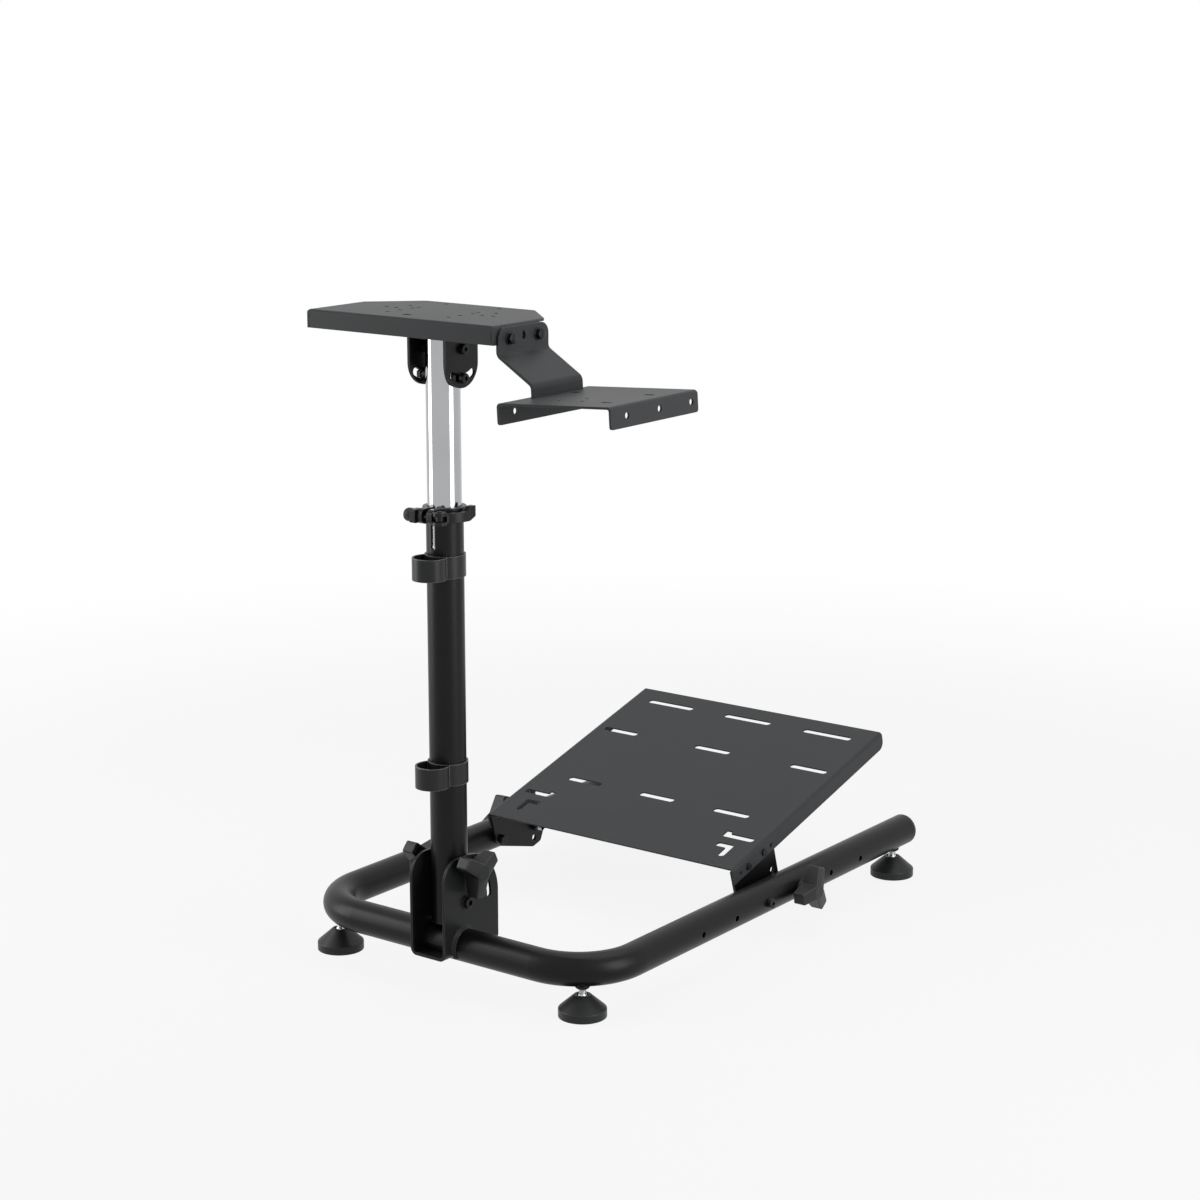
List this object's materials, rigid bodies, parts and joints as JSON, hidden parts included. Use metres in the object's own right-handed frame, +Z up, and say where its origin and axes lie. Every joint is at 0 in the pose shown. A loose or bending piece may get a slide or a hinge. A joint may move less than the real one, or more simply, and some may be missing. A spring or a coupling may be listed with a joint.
{
  "type": "racing wheel stand",
  "caption": "Folding racing wheel stand with a tubular base, sliding column, tilting wheel plate, shifter plate and sloped pedal plate, in black powder coat and chrome.",
  "frame": {"origin": "centre of the bounding box at floor level", "axes": "+X is the driver's right, +Y points forward to the pedals, +Z is up"},
  "size_m": [0.6763, 0.934, 0.924],
  "materials": {
    "black_powder_coat": "fine matt black powder coat",
    "chrome_tube": "bright chrome plate",
    "chrome_stud": "bright plated steel",
    "black_fastener": "black oxide steel",
    "clamp_metal": "satin black anodised",
    "knob_plastic": "matt moulded black plastic",
    "foot_plastic": "matt moulded black plastic",
    "cap_plastic": "satin black plastic",
    "clip_plastic": "satin black plastic"
  },
  "bodies": {
    "base": {"base_frame": "black_powder_coat", "arm_end_cap_left": "cap_plastic", "arm_end_cap_right": "cap_plastic", "foot_front_left": "foot_plastic", "foot_front_right": "foot_plastic", "foot_rear_left": "foot_plastic", "foot_rear_right": "foot_plastic", "foot_studs": "chrome_stud", "foot_nuts": "black_fastener", "pivot_bracket": "black_powder_coat", "pivot_bolt": "black_fastener", "pedal_plate": "black_powder_coat", "pedal_bracket_left": "black_powder_coat", "pedal_bracket_right": "black_powder_coat", "pedal_pivot_bolt_left": "black_fastener", "pedal_pivot_bolt_right": "black_fastener", "pedal_knob_left": "knob_plastic", "pedal_knob_right": "knob_plastic", "pedal_bracket_bolts_left": "black_fastener", "pedal_bracket_bolts_right": "black_fastener"},
    "column": {"column_tube": "black_powder_coat", "column_knob_left": "knob_plastic", "column_knob_right": "knob_plastic", "cable_clip_upper": "clip_plastic", "cable_clip_lower": "clip_plastic", "clamp_collar": "clamp_metal", "clamp_bolt": "black_fastener", "clamp_pin": "black_fastener"},
    "lever": {"clamp_lever": "clamp_metal"},
    "slider": {"inner_tube": "chrome_tube", "tilt_sleeves": "black_fastener", "tilt_pivot_bolt": "black_fastener", "tilt_lock_bolt": "black_fastener"},
    "wheel_head": {"wheel_plate": "black_powder_coat", "tilt_ear_left": "black_powder_coat", "tilt_ear_right": "black_powder_coat", "shifter_arm": "black_powder_coat", "shifter_arm_bolts": "black_fastener", "shifter_plate": "black_powder_coat"}
  },
  "joints": [
    {"name": "column_fold", "type": "hinge", "parent": "base", "child": "column", "pos_m": [-0.03617, -0.3294, 0.1235], "axis": [-1, 0, 0], "range_deg": [0, 75]},
    {"name": "column_height", "type": "slide", "parent": "column", "child": "slider", "axis": [0, 0, 1], "range_m": [-0.13, 0.06]},
    {"name": "wheel_plate_tilt", "type": "hinge", "parent": "slider", "child": "wheel_head", "pos_m": [-0.03617, -0.3294, 0.877], "axis": [1, 0, 0], "range_deg": [-30, 30]},
    {"name": "clamp_lever", "type": "hinge", "parent": "column", "child": "lever", "pos_m": [-0.01387, -0.3664, 0.658], "axis": [0, 0, -1], "range_deg": [0, 90]}
  ]
}
